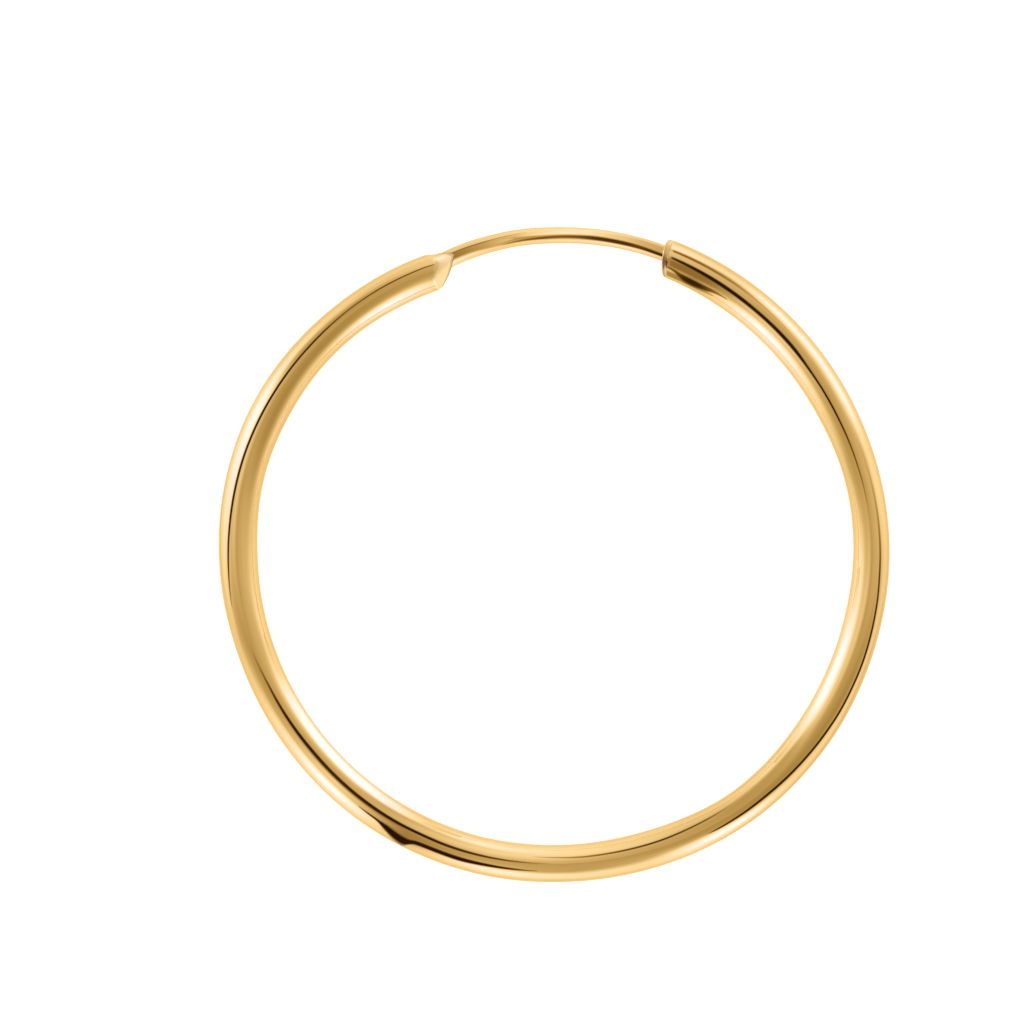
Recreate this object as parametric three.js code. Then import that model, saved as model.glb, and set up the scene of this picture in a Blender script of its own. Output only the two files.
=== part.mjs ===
// Endless hoop earring of polished yellow gold, lying on its side.
// A hollow round tube is bent into a ring. Its one end is pinched onto a solid ear wire, which crosses the
// gap for the ear and slips into the open mouth at the tube's other end.
// Lengths are in millimetres. Angles go round the ring in degrees, from +X towards +Y.
// The origin is on the floor below the middle of the ring, and +Z is up.

import * as THREE from 'three';
import { mergeVertices } from 'three/addons/utils/BufferGeometryUtils.js';

// Ring and tube
const HOOP_OUTER_DIAMETER = 35;
const TUBE_DIAMETER = 2;
const TUBE_WALL = 0.15;

// Open mouth: its cut is a little off square, ahead by the slant on the ring's outer side and by the lean
// on top, and its lip is burnished inwards
const MOUTH_ANGLE = 68.9;
const MOUTH_SLANT = 0.19;
const MOUTH_LEAN = 0.3;
const MOUTH_CUT_RUN = 2;
const MOUTH_LIP_LENGTH = 0.35;
const MOUTH_LIP_DROP = 0.05;
const MOUTH_EDGE_ROUNDING = 0.05;

// Pinched end: the tube bends inwards towards it, and is pressed round the wire and flat beside it
const PINCH_ANGLE = 110;
const PINCH_LENGTH = 1.25;
const PINCH_BEND = 0.7;
const PINCH_BEND_SPAN = 52;
const PINCH_SLIT = 0.12;

// Lip of the pinched end: its edge is a parabola that reaches furthest beside the wire
const LIP_WALL = 0.06;
const LIP_REACH = 0.31;
const LIP_SETBACK = 0.78;

// Ear wire
const WIRE_DIAMETER = 0.93;
const WIRE_CLEARANCE = 0.02;
const WIRE_SOCKET_DEPTH = 3;
const WIRE_HIDDEN_LENGTH = 6;

// Fineness of the facets: sides round a section, and degrees from one section to the next
const TUBE_SIDES = 20;
const WIRE_SIDES = 12;
const TUBE_STEP = 4.6;
const WIRE_STEP = 3;
const PINCH_STATIONS = 7;

// How far the tube's middle line lies outside a true circle, as a share of the ring's radius
const OUT_OF_ROUND = [
  { at: 0, share: 0.0065 },
  { at: 26, share: 0.001 },
  { at: 55, share: -0.0022 },
  { at: 85, share: -0.001 },
  { at: 110, share: 0.004 },
  { at: 138, share: 0.0057 },
  { at: 162, share: 0.0115 },
  { at: 184, share: 0.0055 },
  { at: 200, share: -0.0018 },
  { at: 240, share: -0.0035 },
  { at: 279, share: -0.0073 },
  { at: 296, share: 0 },
  { at: 309, share: 0.006 },
  { at: 336, share: 0.003 },
];

// The wire's way: at is -1 to 0 in its socket, 0 to 1 across the gap and 1 to 2 hidden in the mouth.
// inward is a share of PINCH_BEND, outward a share of the wire's play in the bore, girth of its diameter.
const WIRE_LINE = [
  { at: -1, inward: 0.64, outward: 0, girth: 1 },
  { at: -0.5, inward: 0.72, outward: 0, girth: 1 },
  { at: -0.2, inward: 0.62, outward: 0, girth: 1 },
  { at: 0, inward: 0.49, outward: 0, girth: 1 },
  { at: 0.12, inward: 0.21, outward: 0, girth: 0.98 },
  { at: 0.25, inward: 0.03, outward: 0, girth: 0.95 },
  { at: 0.5, inward: 0, outward: 0.2, girth: 0.91 },
  { at: 0.75, inward: 0, outward: 0.42, girth: 0.895 },
  { at: 1, inward: 0, outward: 0.48, girth: 0.885 },
  { at: 2, inward: 0, outward: 0.48, girth: 0.87 },
];

// The wire's rounded tips, as shares of the wire's radius: how far back from the tip, and how wide there
const WIRE_TIP = [
  { back: 0, wide: 0 },
  { back: 0.13, wide: 0.5 },
  { back: 0.5, wide: 0.87 },
  { back: 1, wide: 1 },
];

// Where the pinched sections keep their shape: the inner edge's distance from the tube's middle line as a
// share of the tube's radius, the lip's furthest point as a share of the way out from the wire's middle,
// and where the pressed side falls away from the wire, in wire radii
const PINCHED_SIDE = 0.82;
const LIP_TIP = 0.15;
const SHOULDER_START = 0.3;
const SHOULDER_END = 1.7;
const PINCH_EASE = 1.5;

const { clamp, degToRad, lerp, radToDeg, smoothstep } = THREE.MathUtils;

const ringRadius = (HOOP_OUTER_DIAMETER - TUBE_DIAMETER) / 2;
const tubeRadius = TUBE_DIAMETER / 2;
const boreRadius = tubeRadius - TUBE_WALL;
const wireRadius = WIRE_DIAMETER / 2;
const wirePlay = boreRadius - wireRadius;
const degreesPerLength = radToDeg(1 / ringRadius);
const pinchSpan = PINCH_LENGTH * degreesPerLength;
const tubeEndAngle = 360 + MOUTH_ANGLE;
// A polygon stands this much wider than the circle that its sides touch
const facetSwell = 1 / Math.cos(Math.PI / TUBE_SIDES);

const closedRing = [-360, 0, 360].flatMap((turn) =>
  OUT_OF_ROUND.map((row) => ({ at: row.at + turn, share: row.share })));

// A smooth curve through one column of a table, by Hermite pieces with central slopes
function smoothValue(rows, column, at) {
  const found = rows.findIndex((row) => row.at > at);
  const end = found < 0 ? rows.length - 1 : Math.max(found, 1);
  const a = rows[end - 1];
  const b = rows[end];
  const before = rows[Math.max(end - 2, 0)];
  const after = rows[Math.min(end + 1, rows.length - 1)];
  const span = b.at - a.at;
  const t = clamp((at - a.at) / span, 0, 1);
  const startSlope = (span * (b[column] - before[column])) / (b.at - before.at);
  const endSlope = (span * (after[column] - a[column])) / (after.at - a.at);
  const rise = b[column] - a[column];
  return a[column] + startSlope * t + (3 * rise - 2 * startSlope - endSlope) * t ** 2 +
    (startSlope + endSlope - 2 * rise) * t ** 3;
}

// Distance of a nearly round line from the ring's axis
function roundLine(angle) {
  return ringRadius * (1 + smoothValue(closedRing, 'share', angle));
}

// The tube's middle line bends inwards towards the pinched end
function tubeLine(angle) {
  const away = clamp((angle - PINCH_ANGLE) / PINCH_BEND_SPAN, 0, 1);
  return roundLine(angle) - PINCH_BEND * (1 - away) ** 2;
}

// Where along its table the wire is at an angle of the ring
function wireStation(angle) {
  if (angle >= PINCH_ANGLE) return (PINCH_ANGLE - angle) / (WIRE_SOCKET_DEPTH * degreesPerLength);
  if (angle >= MOUTH_ANGLE) return (PINCH_ANGLE - angle) / (PINCH_ANGLE - MOUTH_ANGLE);
  return 1 + (MOUTH_ANGLE - angle) / (WIRE_HIDDEN_LENGTH * degreesPerLength);
}

// The wire's middle line, out of the socket, over the gap and into the mouth
function wireLine(angle) {
  const at = wireStation(angle);
  return roundLine(angle) - PINCH_BEND * smoothValue(WIRE_LINE, 'inward', at) +
    wirePlay * smoothValue(WIRE_LINE, 'outward', at);
}

function ringPoint(angle, distance, height) {
  const turn = degToRad(angle);
  return new THREE.Vector3(distance * Math.cos(turn), distance * Math.sin(turn), tubeRadius + height);
}

// The pressed section, about the wire: round on the ring's outer side, drawn out flat on its inner side.
// skin is 0 on the inside of the wall and 1 on its outside, across and up are the section's unit circle.
function pressedSection(angle, skin, across, up) {
  const hug = (wireRadius + WIRE_CLEARANCE + LIP_WALL * skin) * facetSwell;
  const slitSkin = PINCH_SLIT / 2 + TUBE_WALL * skin;
  const innerEdge = tubeLine(angle) - PINCHED_SIDE * tubeRadius + TUBE_WALL * (1 - skin);
  const reach = across > 0 ? hug : wireLine(angle) - innerEdge;
  const inward = Math.max(-across * reach, 0);
  const flat = smoothstep(inward, SHOULDER_START * hug, SHOULDER_END * hug);
  return { distance: wireLine(angle) + across * reach, height: up * lerp(hug, slitSkin, flat) };
}

// Moves a point of the straight tube to its place on the ring
function tubePoint(radius, station, across, up) {
  const pressed = clamp((PINCH_ANGLE + pinchSpan - station) / pinchSpan, 0, 1);
  const lipSlide = pressed * (LIP_REACH - LIP_SETBACK * (across - LIP_TIP) ** 2);
  const nearMouth = clamp(1 - (tubeEndAngle - station) / (MOUTH_CUT_RUN * degreesPerLength), 0, 1);
  const mouthSlide = nearMouth * (MOUTH_SLANT * across + MOUTH_LEAN * up);
  const angle = station + (mouthSlide - lipSlide) * degreesPerLength;
  const round = { distance: tubeLine(angle) + radius * facetSwell * across, height: radius * facetSwell * up };
  const skin = (radius - boreRadius) / TUBE_WALL;
  const flattened = pressedSection(angle, skin, across, up);
  const share = pressed ** PINCH_EASE;
  return ringPoint(angle, lerp(round.distance, flattened.distance, share),
    lerp(round.height, flattened.height, share));
}

function wirePoint(radius, station, across, up) {
  return ringPoint(station, wireLine(station) + radius * across, radius * up);
}

// Turns a closed profile of radius and station into a straight body, and moves its points with place
function bentBody(profile, sides, startTurn, place) {
  const straight = new THREE.LatheGeometry(profile, sides, startTurn);
  straight.deleteAttribute('normal');
  straight.deleteAttribute('uv');
  const body = mergeVertices(straight);
  const position = body.getAttribute('position');
  for (let i = 0; i < position.count; i += 1) {
    const radius = Math.hypot(position.getX(i), position.getZ(i));
    const unit = radius > 0 ? 1 / radius : 0;
    const point = place(radius, position.getY(i), position.getX(i) * unit, position.getZ(i) * unit);
    position.setXYZ(i, point.x, point.y, point.z);
  }
  body.computeVertexNormals();
  return body;
}

// Stations along the tube, from its pinched end to where the lip of the mouth starts
function tubeStations() {
  const bodyStart = PINCH_ANGLE + pinchSpan;
  const bodyEnd = tubeEndAngle - MOUTH_LIP_LENGTH * degreesPerLength;
  const bodyCount = Math.round((bodyEnd - bodyStart) / TUBE_STEP);
  const pinched = Array.from({ length: PINCH_STATIONS }, (_, i) =>
    lerp(PINCH_ANGLE, bodyStart, i / PINCH_STATIONS));
  const round = Array.from({ length: bodyCount + 1 }, (_, i) => lerp(bodyStart, bodyEnd, i / bodyCount));
  return [...pinched, ...round];
}

// The tube's wall, cut along: up its outside, over the rounded edge of the mouth and back down the bore
function tubeProfile() {
  const stations = tubeStations();
  const skinAt = (radius) => stations.map((station) => new THREE.Vector2(radius, station));
  const beforeMouth = (length) => tubeEndAngle - length * degreesPerLength;
  const lip = [
    new THREE.Vector2(tubeRadius - MOUTH_LIP_DROP / 2, beforeMouth(MOUTH_LIP_LENGTH / 2)),
    new THREE.Vector2(tubeRadius - MOUTH_LIP_DROP, beforeMouth(MOUTH_EDGE_ROUNDING)),
    new THREE.Vector2(tubeRadius - MOUTH_LIP_DROP - TUBE_WALL / 2, tubeEndAngle),
    new THREE.Vector2(boreRadius - MOUTH_LIP_DROP, beforeMouth(MOUTH_EDGE_ROUNDING)),
    new THREE.Vector2(boreRadius - MOUTH_LIP_DROP / 2, beforeMouth(MOUTH_LIP_LENGTH / 2)),
  ];
  const outside = skinAt(tubeRadius);
  return [...outside, ...lip, ...skinAt(boreRadius).reverse(), outside[0].clone()];
}

// The wire's profile, from its hidden tip to its end in the socket, with both ends rounded
function wireProfile() {
  const start = MOUTH_ANGLE - WIRE_HIDDEN_LENGTH * degreesPerLength;
  const end = PINCH_ANGLE + WIRE_SOCKET_DEPTH * degreesPerLength;
  const radiusAt = (angle) => wireRadius * smoothValue(WIRE_LINE, 'girth', wireStation(angle));
  const tip = (edge, inwards) => WIRE_TIP.map(({ back, wide }) => {
    const angle = edge + inwards * back * radiusAt(edge) * degreesPerLength;
    return new THREE.Vector2(wide * radiusAt(angle), angle);
  });
  const startTip = tip(start, 1);
  const endTip = tip(end, -1).reverse();
  const shankStart = startTip.at(-1).y;
  const shankEnd = endTip[0].y;
  const count = Math.round((shankEnd - shankStart) / WIRE_STEP);
  const shank = Array.from({ length: count - 1 }, (_, i) => {
    const angle = lerp(shankStart, shankEnd, (i + 1) / count);
    return new THREE.Vector2(radiusAt(angle), angle);
  });
  return [...startTip, ...shank, ...endTip];
}

function hoopTube() {
  const gold = new THREE.MeshStandardMaterial({ color: 0xd8aa55, roughness: 0.12, metalness: 1 });
  const mesh = new THREE.Mesh(bentBody(tubeProfile(), TUBE_SIDES, Math.PI / TUBE_SIDES, tubePoint), gold);
  mesh.name = 'hoop_tube';
  return mesh;
}

function earWire() {
  const gold = new THREE.MeshStandardMaterial({ color: 0xd2a550, roughness: 0.15, metalness: 1 });
  const mesh = new THREE.Mesh(bentBody(wireProfile(), WIRE_SIDES, 0, wirePoint), gold);
  mesh.name = 'ear_wire';
  return mesh;
}

const hoopEarring = new THREE.Group();
hoopEarring.add(hoopTube(), earWire());

export default hoopEarring;
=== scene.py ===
# %% [markdown]
# # An endless hoop earring in polished yellow gold
#
# The earring is a thin hollow tube bent into a ring. One end of the tube is pinched onto a solid ear wire,
# and the wire's free end slips into the open mouth at the tube's other end. It lies on its side on a pale
# table, and the camera looks straight down on it.
#
# The CAD model comes first: it is loaded as a fixed frame, in metres, with the ring's middle at the origin
# and the table at z = 0. Its facets are coarse, so two fine surfaces take the place of its two solids.

# %% Load the frame
import math

import bpy
import numpy as np
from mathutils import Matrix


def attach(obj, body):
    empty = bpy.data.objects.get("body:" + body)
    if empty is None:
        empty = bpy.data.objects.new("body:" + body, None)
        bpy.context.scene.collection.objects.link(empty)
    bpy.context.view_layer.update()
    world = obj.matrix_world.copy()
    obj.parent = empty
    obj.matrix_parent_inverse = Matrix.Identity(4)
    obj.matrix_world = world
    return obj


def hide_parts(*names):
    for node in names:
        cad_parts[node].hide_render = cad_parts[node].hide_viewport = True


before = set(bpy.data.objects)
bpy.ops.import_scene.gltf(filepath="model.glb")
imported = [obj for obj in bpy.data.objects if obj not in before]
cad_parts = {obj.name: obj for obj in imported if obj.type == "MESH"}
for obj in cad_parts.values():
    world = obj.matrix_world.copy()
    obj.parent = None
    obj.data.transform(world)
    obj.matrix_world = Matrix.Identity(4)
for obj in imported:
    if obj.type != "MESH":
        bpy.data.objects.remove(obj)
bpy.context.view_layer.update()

# %% [markdown]
# ## Driving sizes
#
# Everything follows from a few lengths in millimetres, which are the ones the CAD model was made with.
# Angles go round the ring in degrees, from +X towards +Y. The mouth is at about 69 degrees, the pinched end
# at 110 degrees, and the tube runs the long way round between them.

# %% Sizes of the ring, its mouth, its pinched end and its wire
MM = 0.001
HOOP_OUTER_DIAMETER = 35
TUBE_DIAMETER = 2
TUBE_WALL = 0.15

MOUTH_ANGLE = 68.9
MOUTH_SLANT = 0.19
MOUTH_LEAN = 0.3
MOUTH_CUT_RUN = 2
MOUTH_LIP_LENGTH = 0.3
MOUTH_LIP_DROP = 0.02
MOUTH_RIM_LENGTH = 0.11
MOUTH_EDGE_ROUNDING = 0.055

PINCH_ANGLE = 110
PINCH_LENGTH = 1.25
PINCH_BEND = 0.7
PINCH_BEND_SPAN = 52
PINCH_SLIT = 0.12
PINCH_BREAK = 0.95
PINCH_BREAK_SLANT = 0.5
PINCH_BREAK_ROUNDING = 0.35
PINCH_FACE_LENGTH = 1.4
PINCHED_SIDE = 0.9

LIP_WALL = 0.06
LIP_REACH = 0.4
LIP_SETBACK = 1.03
LIP_CURVE = 1.38
LIP_TIP = 0.15
LIP_EDGE_ROUNDING = 0.03
SHOULDER_START = 0.3
SHOULDER_END = 1.7

WIRE_DIAMETER = 0.93
WIRE_CLEARANCE = 0.02
WIRE_SOCKET_DEPTH = 3
WIRE_HIDDEN_LENGTH = 6

RING_RADIUS = (HOOP_OUTER_DIAMETER - TUBE_DIAMETER) / 2
TUBE_RADIUS = TUBE_DIAMETER / 2
BORE_RADIUS = TUBE_RADIUS - TUBE_WALL
WIRE_RADIUS = WIRE_DIAMETER / 2
WIRE_PLAY = BORE_RADIUS - WIRE_RADIUS
DEGREES_PER_MM = math.degrees(1 / RING_RADIUS)
TUBE_END_ANGLE = 360 + MOUTH_ANGLE
print(f"middle line radius {RING_RADIUS} mm, one millimetre of tube is {DEGREES_PER_MM:.2f} degrees")

# %% [markdown]
# ## Lines that are not quite round
#
# A hoop bent by hand is never a true circle. A short table says how far its middle line lies outside one,
# and a second table leads the wire from its socket, over the gap and into the mouth. A cubic goes through
# the rows of each table. Polished metal shows every kink in the line that it follows, so a bell-shaped
# average then rounds off what the cubics leave at the rows.

# %% Smooth curves through tables
# Each row: angle, and how far outside the circle the middle line lies, as a share of the ring's radius
OUT_OF_ROUND = [
    (0, 0.0065), (26, 0.001), (55, -0.0022), (85, -0.001), (110, 0.004), (138, 0.0057), (162, 0.0115),
    (184, 0.0055), (200, -0.0018), (240, -0.0035), (279, -0.0073), (296, 0), (309, 0.006), (336, 0.003),
]
# Each row: place along the wire's way, how far inwards as a share of the pinch's bend, how far outwards as a
# share of its play in the bore, and girth as a share of its diameter
WIRE_LINE = [
    (-1, 0.64, 0, 1), (-0.5, 0.68, 0, 1), (-0.2, 0.55, 0, 1), (0, 0.38, 0, 1), (0.12, 0.205, 0, 0.98),
    (0.2, 0.115, 0, 0.96), (0.32, 0.01, 0.05, 0.94), (0.5, 0, 0.2, 0.91), (0.75, 0, 0.42, 0.895),
    (1, 0, 0.48, 0.885), (2, 0, 0.48, 0.87),
]
FINE_STEP = 0.25
RING_ROUNDING_STEPS = 6
DENT_ROUNDING_STEPS = 12
WIRE_ROUNDING_STEPS = 3
# What is taken off the wire's radius, in millimetres, to keep its round surface in the CAD model's box
WIRE_SPARE = 0.001


def table_curve(rows, column, at):
    """Goes through a table's rows with a cubic between each two of them: its slope at a row is that of the
    straight line from the row before to the row after."""
    place = np.array([row[0] for row in rows], float)
    value = np.array([row[column] for row in rows], float)
    before, after = np.r_[place[0], place[:-1]], np.r_[place[1:], place[-1]]
    slope = (np.r_[value[1:], value[-1]] - np.r_[value[0], value[:-1]]) / (after - before)
    row = np.clip(np.searchsorted(place, at, side="right") - 1, 0, len(rows) - 2)
    span = place[row + 1] - place[row]
    t = np.clip((at - place[row]) / span, 0, 1)
    rise = value[row + 1] - value[row]
    start, end = slope[row] * span, slope[row + 1] * span
    return value[row] + start * t + (3 * rise - 2 * start - end) * t**2 + (start + end - 2 * rise) * t**3


def rounded_off(values, steps):
    """Replaces each value by the average of its neighbours, weighted by a bell curve: e to the power of minus
    half the square of the distance in widths of so many steps, as far as three widths."""
    reach = 3 * steps
    bell = np.exp(-0.5 * (np.arange(-reach, reach + 1) / steps) ** 2)
    padded = np.pad(values, reach, mode="edge")
    return np.convolve(padded, bell / bell.sum(), mode="valid")


fine_angles = np.arange(0, 2 * 360 + FINE_STEP, FINE_STEP)
whole_turns = [(at + turn, share) for turn in (-360, 0, 360, 720) for at, share in OUT_OF_ROUND]
fine_share = table_curve(whole_turns, 1, fine_angles)
fine_round = rounded_off(RING_RADIUS * (1 + fine_share), RING_ROUNDING_STEPS)


def round_line(angle):
    """The ring's own middle line: the ring's radius times one plus the share out of round."""
    return np.interp(angle, fine_angles, fine_round)


def tube_line(angle):
    """The round line, drawn inwards near the pinch by the bend times the square of what is left of its
    span."""
    away = np.clip((angle - PINCH_ANGLE) / PINCH_BEND_SPAN, 0, 1)
    return round_line(angle) - PINCH_BEND * (1 - away) ** 2


def wire_station(angle):
    """Where on its table the wire is: below 0 in the socket, 0 to 1 over the gap, above 1 in the mouth."""
    socket = (PINCH_ANGLE - angle) / (WIRE_SOCKET_DEPTH * DEGREES_PER_MM)
    gap = (PINCH_ANGLE - angle) / (PINCH_ANGLE - MOUTH_ANGLE)
    hidden = 1 + (MOUTH_ANGLE - angle) / (WIRE_HIDDEN_LENGTH * DEGREES_PER_MM)
    return np.where(angle >= PINCH_ANGLE, socket, np.where(angle >= MOUTH_ANGLE, gap, hidden))


wire_start = MOUTH_ANGLE - WIRE_HIDDEN_LENGTH * DEGREES_PER_MM
wire_end = PINCH_ANGLE + WIRE_SOCKET_DEPTH * DEGREES_PER_MM
wire_angles = np.arange(wire_start, wire_end + FINE_STEP, FINE_STEP)
wire_at = wire_station(wire_angles)
wire_shift = WIRE_PLAY * table_curve(WIRE_LINE, 2, wire_at) - PINCH_BEND * table_curve(WIRE_LINE, 1, wire_at)
fine_wire = round_line(wire_angles) + rounded_off(wire_shift, WIRE_ROUNDING_STEPS)
wire_taper = WIRE_RADIUS * table_curve(WIRE_LINE, 3, wire_at)
fine_girth = rounded_off(wire_taper, WIRE_ROUNDING_STEPS) - WIRE_SPARE


def wire_line(angle):
    """The wire's middle line: the round line, moved inwards at the pinch and outwards in the mouth."""
    return np.interp(angle, wire_angles, fine_wire)


print(f"tube line from {fine_round.min():.2f} to {fine_round.max():.2f} mm")
print(f"wire line from {fine_wire.min():.2f} to {fine_wire.max():.2f} mm")

# %% [markdown]
# ## From numbers to a mesh
#
# Each piece is a grid of points: one direction goes along the metal and the other goes round it. The grid
# is worked out as whole arrays, joined into four-sided faces and handed over in one go. A closed surface has
# a volume, and its sign tells which way the faces point, so the helper turns them outwards.
#
# The piece also keeps each point's place on the straight metal, before it was bent. Drawing dies and
# polishing wheels leave their marks along that way, and the gold's finish reads it. Other marks, such as how
# much painted shade a point gets, are kept in the same way.

# %% Mesh helper
def ring_point(angle, distance, height):
    """A point at an angle of the ring, at a distance from its axis, at a height above the tube's middle."""
    turn = np.radians(angle)
    return np.stack([distance * np.cos(turn), distance * np.sin(turn), TUBE_RADIUS + height], axis=-1)


def smooth_share(value, start, end):
    """Rises from 0 at start to 1 at end, level at both: three times the square less twice the cube."""
    t = np.clip((value - start) / (end - start), 0, 1)
    return t * t * (3 - 2 * t)


def write_marks(mesh, marks):
    """Keeps the marks in the mesh. Each of them is a name, and a share for each point."""
    for label, share in marks:
        mark = mesh.attributes.new(label, "FLOAT", "POINT")
        mark.data.foreach_set("value", np.ascontiguousarray(share, np.float32).ravel())


def metal_piece(name, points, straight, closed_along, marks=()):
    """Joins a grid of points into a closed mesh. Rows close round the metal. They either close along it too,
    or each end is shut by a fan of faces round the middle of its last row. Marks are named grids of shares
    that the gold's finish reads."""
    rows, sides = points.shape[:2]
    index = np.arange(rows * sides).reshape(rows, sides)
    here = index if closed_along else index[:-1]
    there = np.roll(index, -1, axis=0) if closed_along else index[1:]
    quads = np.stack([here, np.roll(here, -1, axis=1), np.roll(there, -1, axis=1), there], axis=-1)
    faces = quads.reshape(-1, 4).tolist()
    places, ways = points.reshape(-1, 3), straight.reshape(-1, 3)
    if not closed_along:
        for row, order in ((0, 1), (-1, -1)):
            middle = len(places)
            places = np.vstack([places, points[row].mean(axis=0)])
            ways = np.vstack([ways, straight[row].mean(axis=0)])
            rim = np.stack([index[row], np.roll(index[row], -1)], axis=-1)[:, ::-order]
            faces += [[a, b, middle] for a, b in rim.tolist()]
    mesh = bpy.data.meshes.new(name)
    mesh.from_pydata((places * MM).tolist(), [], faces)
    mesh.calc_loop_triangles()
    corners = np.empty(len(mesh.loop_triangles) * 3, np.int32)
    mesh.loop_triangles.foreach_get("vertices", corners)
    a, b, c = places[corners.reshape(-1, 3)].transpose(1, 0, 2)
    volume = np.einsum("ij,ij->i", a, np.cross(b, c)).sum() / 6
    if volume < 0:
        mesh.flip_normals()
    mesh.shade_smooth()
    way = mesh.attributes.new("straight_metal", "FLOAT_VECTOR", "POINT")
    way.data.foreach_set("vector", np.ascontiguousarray(ways, np.float32).ravel())
    write_marks(mesh, marks)
    mesh.validate()
    piece = bpy.data.objects.new(name, mesh)
    bpy.context.scene.collection.objects.link(piece)
    print(f"{name}: {len(mesh.loop_triangles)} triangles, {abs(volume):.2f} cubic millimetres")
    return piece


# %% [markdown]
# ## The hollow tube
#
# Along most of the ring the tube's section is round. Bending moves its crest a little outwards, because
# the metal on the ring's outer side is stretched flatter than on its inner side. It also leaves both sides
# with shallow dents of about a tenth of a millimetre, which a table lists.
#
# Near the pinch the section changes over a short length: it closes round the wire on the ring's outer side
# and is squeezed flat on its inner side. The jaw of the tool leaves a clear break where it bit, and its cut
# leaves a lip whose edge curves back on both sides of the wire. At the mouth the cut is a little off square,
# and the end of the tube is turned in by a fiftieth of a millimetre, with a rounded rim.
#
# One surface covers it all: the outer skin from the pinch to the mouth, round the rim, back through the
# bore and round the edge of the pinched end to where it began.

# %% Sections of the tube
CREST_SHIFT = 0.04
# Each row: angle, how far the outer side lies in from the round line, how far the inner side lies out from it
DENTS = [
    (0, 0.01, 0.08), (6, 0.02, 0.11), (12, 0.02, 0.12), (18, 0.02, 0.10), (24, 0.02, 0.04), (30, 0.01, 0.01),
    (60, 0.01, 0.01), (114, 0.02, 0.01), (120, 0.06, -0.03), (126, 0.09, 0), (132, 0.10, 0.03),
    (138, 0.08, 0.04), (144, 0.06, 0.02), (150, 0.05, -0.02), (156, 0.04, -0.04), (162, 0.04, 0),
    (168, 0.03, 0.01), (174, 0.01, -0.02), (180, 0.01, -0.05), (186, 0.01, -0.03), (192, 0.01, 0.02),
    (198, 0.01, 0.05), (210, 0.01, 0.05), (234, -0.02, 0.03), (246, 0, 0.04), (258, -0.01, 0.06),
    (264, 0, 0.04), (270, 0.01, 0.05), (276, 0, 0.05), (282, -0.02, 0.04), (288, 0, 0.02), (294, 0, 0.04),
    (300, 0.02, 0.10), (306, 0.03, 0.12), (312, 0.02, 0.10), (318, 0.02, 0.08), (324, -0.02, 0.05),
    (330, -0.04, 0.05), (342, -0.02, 0.04), (348, 0, 0.03), (354, 0.01, 0.06), (360, 0.01, 0.08),
]
fine_dents = [
    rounded_off(table_curve(DENTS, side, np.mod(fine_angles, 360)), DENT_ROUNDING_STEPS) for side in (1, 2)
]


def round_section(angle, radius, across, up):
    """A circle about the middle line, whose points move outwards by the crest's shift times one less the
    square of how far across they are, so that the sides stay where they are. Each side is then moved by its
    dent times the square of how far across the point is."""
    skew = CREST_SHIFT * (1 - across**2) * np.maximum(up, 0)
    outer_dent, inner_dent = (np.interp(angle, fine_angles, dent) for dent in fine_dents)
    dent = inner_dent * np.minimum(across, 0) ** 2 - outer_dent * np.maximum(across, 0) ** 2
    return tube_line(angle) + radius * across + skew + dent, radius * up


def pressed_section(angle, skin, across, up):
    """Follows the wire's round on the outer side. On the inner side it is drawn out to the tube's inner
    edge, and its height falls from the wire's to the slit's over the shoulder."""
    hug = WIRE_RADIUS + WIRE_CLEARANCE + LIP_WALL * skin
    slit_skin = PINCH_SLIT / 2 + TUBE_WALL * skin
    inner_edge = tube_line(angle) - PINCHED_SIDE * TUBE_RADIUS + TUBE_WALL * (1 - skin)
    middle = wire_line(np.minimum(angle, wire_end))
    reach = np.where(across > 0, hug, middle - inner_edge)
    flat = smooth_share(np.maximum(-across * reach, 0), SHOULDER_START * hug, SHOULDER_END * hug)
    return middle + across * reach, up * (hug + (slit_skin - hug) * flat)


def break_line(across):
    """How far from the pinched end the jaw bit, in millimetres: furthest on the inner side, and the same at
    both edges as in the middle."""
    return PINCH_BREAK - PINCH_BREAK_SLANT * across * (1 - across**2)


def tube_skin(station, skin, radius, turn):
    """Places the straight tube's points on the ring. The two sections are mixed by a share s: p times p,
    times 1 + r, over p + r, where p is how far past the break the point lies and r is the break's rounding.
    The lip's edge is set back by a power of how far across it is, and the mouth's cut slides with its slant
    and lean."""
    across, up = np.cos(turn), np.sin(turn)
    before_end = (station - PINCH_ANGLE) / DEGREES_PER_MM
    pressed = np.clip(1 - before_end / PINCH_LENGTH, 0, 1)
    lip_slide = pressed * (LIP_REACH - LIP_SETBACK * np.abs(across - LIP_TIP) ** LIP_CURVE)
    near_mouth = np.clip(1 - (TUBE_END_ANGLE - station) / (MOUTH_CUT_RUN * DEGREES_PER_MM), 0, 1)
    mouth_slide = near_mouth * (MOUTH_SLANT * across + MOUTH_LEAN * up)
    angle = station + (mouth_slide - lip_slide) * DEGREES_PER_MM
    past_break = np.clip(1 - before_end / break_line(across), 0, 1)
    share = past_break**2 * (1 + PINCH_BREAK_ROUNDING) / (past_break + PINCH_BREAK_ROUNDING)
    round_distance, round_height = round_section(angle, radius, across, up)
    pressed_distance, pressed_height = pressed_section(angle, skin, across, up)
    distance = round_distance + (pressed_distance - round_distance) * share
    height = round_height + (pressed_height - round_height) * share
    return ring_point(angle, distance, height)
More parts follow.
